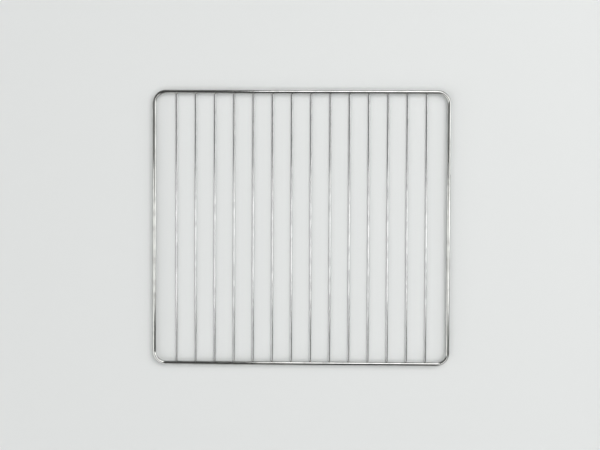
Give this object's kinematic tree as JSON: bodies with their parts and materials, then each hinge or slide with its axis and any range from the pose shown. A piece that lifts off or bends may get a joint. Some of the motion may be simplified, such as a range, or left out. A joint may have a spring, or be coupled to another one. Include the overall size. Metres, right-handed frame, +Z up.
{
  "type": "wire rack",
  "caption": "Flat oven rack: a bent rod frame with rounded corners carries thin parallel cross wires, to hold food or pans while hot air passes through.",
  "frame": {"origin": "on the ground plane, under the middle of the rack", "axes": "+X to the right along the front and back runs, +Y to the back along the cross wires, +Z up"},
  "size_m": [0.3178, 0.2938, 0.0056],
  "materials": {
    "chrome_rod": "bright chrome plate over drawn steel rod, 4 mm",
    "chrome_wire": "bright chrome plate over drawn steel wire, 2 mm, a little duller than the rod"
  },
  "bodies": {
    "root": {"frame": "chrome_rod", "cross_wire_01": "chrome_wire", "cross_wire_02": "chrome_wire", "cross_wire_03": "chrome_wire", "cross_wire_04": "chrome_wire", "cross_wire_05": "chrome_wire", "cross_wire_06": "chrome_wire", "cross_wire_07": "chrome_wire", "cross_wire_08": "chrome_wire", "cross_wire_09": "chrome_wire", "cross_wire_10": "chrome_wire", "cross_wire_11": "chrome_wire", "cross_wire_12": "chrome_wire", "cross_wire_13": "chrome_wire", "cross_wire_14": "chrome_wire"}
  },
  "joints": []
}
